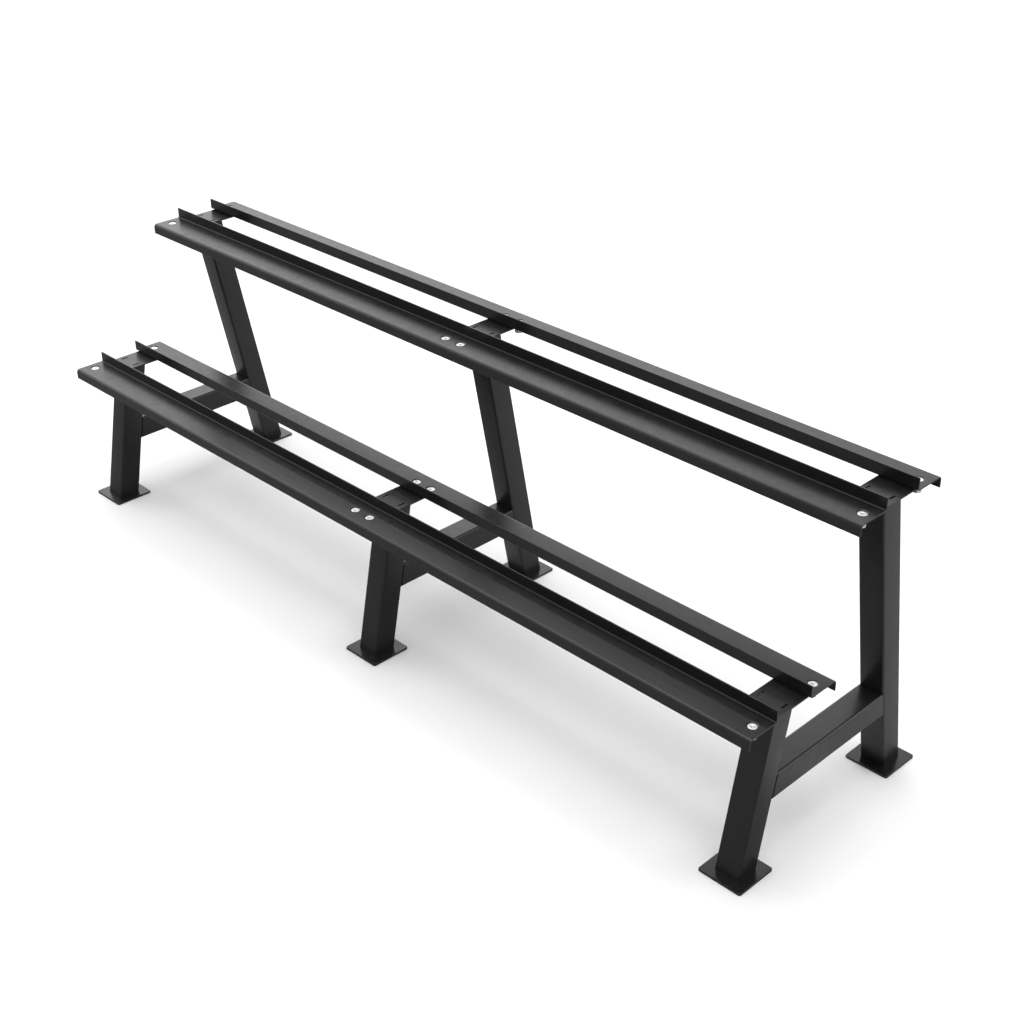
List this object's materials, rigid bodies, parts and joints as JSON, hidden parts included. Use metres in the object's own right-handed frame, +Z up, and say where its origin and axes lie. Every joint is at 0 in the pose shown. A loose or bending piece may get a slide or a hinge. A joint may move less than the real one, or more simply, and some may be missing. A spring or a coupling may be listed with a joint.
{
  "type": "dumbbell rack",
  "caption": "Free-standing stepped dumbbell rack: leaning square posts on foot plates carry level shelves of bent sheet rails, the rear shelf higher.",
  "frame": {"origin": "centre of the whole rack in plan, on the floor under its foot plates", "axes": "+X along the rails, +Y from the low front shelf towards the high rear shelf, +Z up"},
  "size_m": [2.098, 0.5724, 0.687],
  "materials": {
    "foot_plates": "satin black powder coat, fine texture",
    "posts": "satin black powder coat, fine texture",
    "braces": "satin black powder coat, fine texture",
    "saddles": "satin black powder coat, fine texture",
    "rails": "satin black powder coat, fine texture",
    "bolts": "bright zinc plate",
    "washers": "bright zinc plate",
    "nuts": "bright zinc plate"
  },
  "bodies": {
    "root": {"left_front_foot_plate": "foot_plates", "middle_front_foot_plate": "foot_plates", "right_front_foot_plate": "foot_plates", "left_rear_foot_plate": "foot_plates", "middle_rear_foot_plate": "foot_plates", "right_rear_foot_plate": "foot_plates", "left_front_post": "posts", "middle_front_post": "posts", "right_front_post": "posts", "left_rear_post": "posts", "middle_rear_post": "posts", "right_rear_post": "posts", "left_brace": "braces", "middle_brace": "braces", "right_brace": "braces", "lower_left_saddle": "saddles", "lower_middle_saddle": "saddles", "lower_right_saddle": "saddles", "upper_left_saddle": "saddles", "upper_middle_saddle": "saddles", "upper_right_saddle": "saddles", "lower_front_rail": "rails", "lower_rear_rail": "rails", "upper_front_rail": "rails", "upper_rear_rail": "rails", "lower_front_rail_bolts": "bolts", "lower_rear_rail_bolts": "bolts", "upper_front_rail_bolts": "bolts", "upper_rear_rail_bolts": "bolts", "lower_front_rail_washers": "washers", "lower_rear_rail_washers": "washers", "upper_front_rail_washers": "washers", "upper_rear_rail_washers": "washers", "lower_front_rail_nuts": "nuts", "lower_rear_rail_nuts": "nuts", "upper_front_rail_nuts": "nuts", "upper_rear_rail_nuts": "nuts"}
  },
  "joints": []
}
